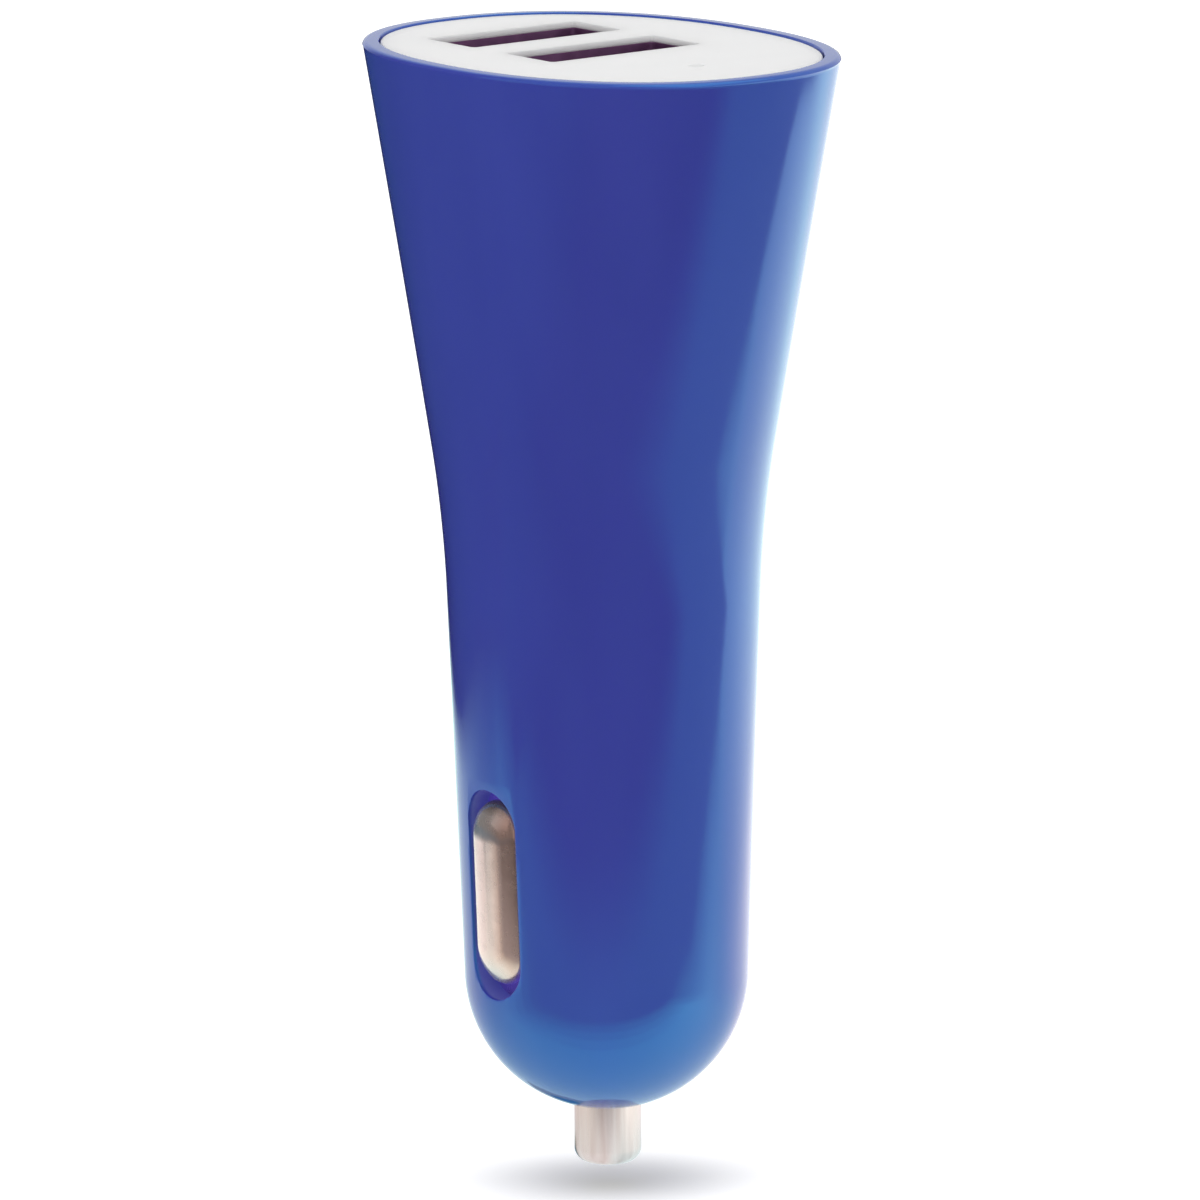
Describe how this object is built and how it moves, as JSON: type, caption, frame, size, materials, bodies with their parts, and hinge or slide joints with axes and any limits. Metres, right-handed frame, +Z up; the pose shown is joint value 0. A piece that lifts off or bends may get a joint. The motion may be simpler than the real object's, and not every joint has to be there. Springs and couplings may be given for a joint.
{
  "type": "car usb charger plug",
  "caption": "Round tapered plug with a domed end, sprung centre pin and side contacts, flaring to an oval head with flat-set charging ports.",
  "frame": {"origin": "the end of the centre pin, on the barrel's axis, at the bottom centre of the whole part", "axes": "+Z up the plug towards the ports, X along the long side of the ports and through both side contacts, -Y towards the indicator"},
  "size_m": [0.0276, 0.0356, 0.077],
  "materials": {
    "body": "glossy royal blue moulded plastic",
    "plate": "satin white moulded plastic",
    "contact": "bright nickel plate, slightly warm",
    "pin": "turned and nickel plated, slightly warm",
    "spring": "drawn spring wire",
    "gilt": "thin gold flash over brass",
    "board": "green solder mask on glass fibre board",
    "port_shell": "tinned folded sheet",
    "tongue": "black moulded insulator",
    "ferrite": "sintered ferrite, dark grey",
    "winding": "enamelled copper wire",
    "capacitor": "can in a black shrink sleeve",
    "fuse": "green coated body with tinned leads",
    "chip": "black moulding compound with tinned legs",
    "ceramic": "tan ceramic",
    "lens": "milky clear epoxy",
    "lead": "tinned steel wire"
  },
  "bodies": {
    "plug": {"body_shell": "body", "face_plate": "plate", "pin_spring": "spring", "spring_seat": "gilt", "circuit_board": "board", "port_shell_front": "port_shell", "port_shell_rear": "port_shell", "port_tongue_front": "tongue", "port_tongue_rear": "tongue", "port_contacts_front": "gilt", "port_contacts_rear": "gilt", "inductor_core": "ferrite", "inductor_winding": "winding", "input_capacitor": "capacitor", "output_capacitor": "capacitor", "input_fuse": "fuse", "converter_chip": "chip", "charge_chip": "chip", "rectifier_diode": "chip", "chip_resistors": "chip", "chip_capacitors": "ceramic", "indicator_led": "lens", "indicator_leads": "lead"},
    "pin": {"centre_pin": "pin"},
    "left_contact": {"side_contact_left": "contact"},
    "right_contact": {"side_contact_right": "contact"}
  },
  "joints": [
    {"name": "pin_press", "type": "slide", "parent": "plug", "child": "pin", "axis": [0, 0, 1], "range_m": [0, 0.0024], "stiffness_N_per_m": 1000, "deforming": ["pin_spring"]},
    {"name": "left_contact_press", "type": "hinge", "parent": "plug", "child": "left_contact", "pos_m": [-0.00789, 0, 0.0331], "axis": [0, -1, 0], "range_deg": [0, 3.5], "stiffness_Nm_per_rad": 0.5},
    {"name": "right_contact_press", "type": "hinge", "parent": "plug", "child": "right_contact", "pos_m": [0.00789, 0, 0.0331], "axis": [0, 1, 0], "range_deg": [0, 3.5], "stiffness_Nm_per_rad": 0.5}
  ]
}
